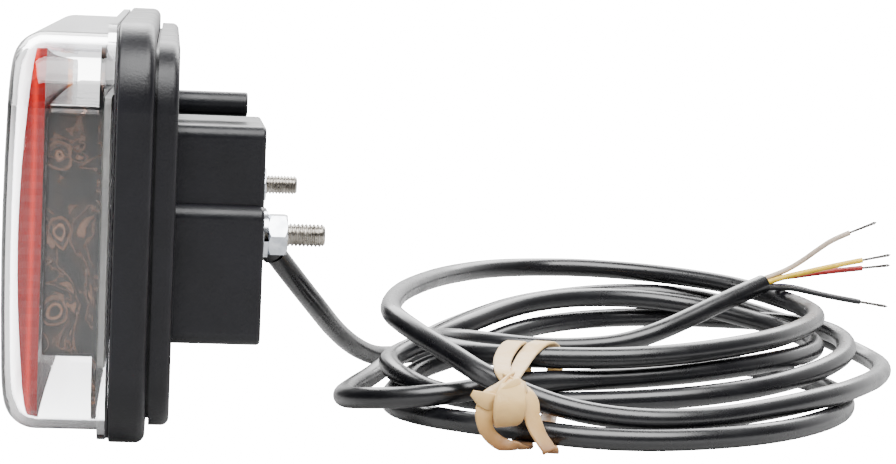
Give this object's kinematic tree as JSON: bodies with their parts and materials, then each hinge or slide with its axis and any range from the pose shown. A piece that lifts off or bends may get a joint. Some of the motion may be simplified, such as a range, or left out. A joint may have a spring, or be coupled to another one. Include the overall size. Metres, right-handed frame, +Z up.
{
  "type": "trailer tail light",
  "caption": "Rectangular trailer tail light: clear lens over a domed red inner lens, two rear mounting studs with nuts, and a tied coil of black cable ending in bare cores.",
  "frame": {"origin": "midway between the two stud axes, in the plane of the rear mounting pads", "axes": "+X out of the back along the studs, +Y along the lamp away from the lead end, +Z up"},
  "size_m": [0.265, 0.236, 0.104],
  "materials": {
    "black_core": "black PVC",
    "bare_strand": "bare copper strands, tinned at the ends",
    "blue_core": "dark blue PVC",
    "screw": "zinc plated",
    "gland": "soft black rubber",
    "sheath": "smooth black PVC with a soft sheen",
    "capacitor": "bare can",
    "board": "white solder resist",
    "chip": "black epoxy",
    "black_plastic": "fine moulded texture, slight sheen",
    "amber_lens": "transparent amber acrylic, ribbed behind",
    "bezel": "glossy black",
    "inner_lead": "coloured PVC",
    "led": "yellow phosphor under clear silicone",
    "seal": "matt rubber",
    "stud": "zinc plated, rolled thread",
    "washer": "bright zinc",
    "nut": "bright bluish zinc",
    "clear_lens": "clear moulded polycarbonate, violet at the cut edge",
    "red_core": "dark red PVC",
    "red_lens": "domed transparent red acrylic",
    "resistor": "black film",
    "white_lens": "clear acrylic, ribbed behind",
    "terminal": "tinned",
    "reflector": "vacuum-plated",
    "tie": "tan latex, slightly translucent",
    "vent": "matt rubber",
    "white_core": "off-white PVC",
    "yellow_core": "yellow PVC"
  },
  "bodies": {
    "lamp": {"black_core": "black_core", "black_core_tip": "bare_strand", "blue_core": "blue_core", "blue_core_tip": "bare_strand", "board_screws": "screw", "cable_coil": "sheath", "cable_gland": "gland", "cable_lead": "sheath", "cable_tail": "sheath", "capacitors": "capacitor", "circuit_board": "board", "driver_chips": "chip", "front_frame": "black_plastic", "indicator_inner_lens": "amber_lens", "inner_bezel": "bezel", "inner_leads": "inner_lead", "led_chips": "led", "lens_seal": "seal", "mounting_studs": "stud", "outer_lens": "clear_lens", "rear_housing": "black_plastic", "red_core": "red_core", "red_core_tip": "bare_strand", "red_inner_lens": "red_lens", "resistors": "resistor", "reversing_inner_lens": "white_lens", "signal_reflector_cups": "reflector", "solder_terminals": "terminal", "tail_reflector_cups": "reflector", "tie_band": "tie", "vent_plug": "vent", "white_core": "white_core", "white_core_tip": "bare_strand", "yellow_core": "yellow_core", "yellow_core_tip": "bare_strand"},
    "near_washers": {"near_flat_washer": "washer", "near_spring_washer": "washer"},
    "near_nut": {"near_hex_nut": "nut"},
    "far_washers": {"far_flat_washer": "washer", "far_spring_washer": "washer"},
    "far_nut": {"far_hex_nut": "nut"}
  },
  "joints": [
    {"name": "near_nut_turn", "type": "hinge", "parent": "lamp", "child": "near_washers", "pos_m": [0, -0.076, 0], "axis": [1, 0, 0], "range_deg": [0, 4500]},
    {"name": "near_nut_travel", "type": "slide", "parent": "near_washers", "child": "near_nut", "axis": [1, 0, 0], "range_m": [0, 0.012]},
    {"name": "far_nut_turn", "type": "hinge", "parent": "lamp", "child": "far_washers", "pos_m": [0, 0.076, 0], "axis": [1, 0, 0], "range_deg": [0, 4500]},
    {"name": "far_nut_travel", "type": "slide", "parent": "far_washers", "child": "far_nut", "axis": [1, 0, 0], "range_m": [0, 0.012]}
  ],
  "couplings": [
    {"joint": "near_nut_turn", "follows": "near_nut_travel", "rad_per_m": 6283.2},
    {"joint": "far_nut_turn", "follows": "far_nut_travel", "rad_per_m": 6283.2}
  ]
}
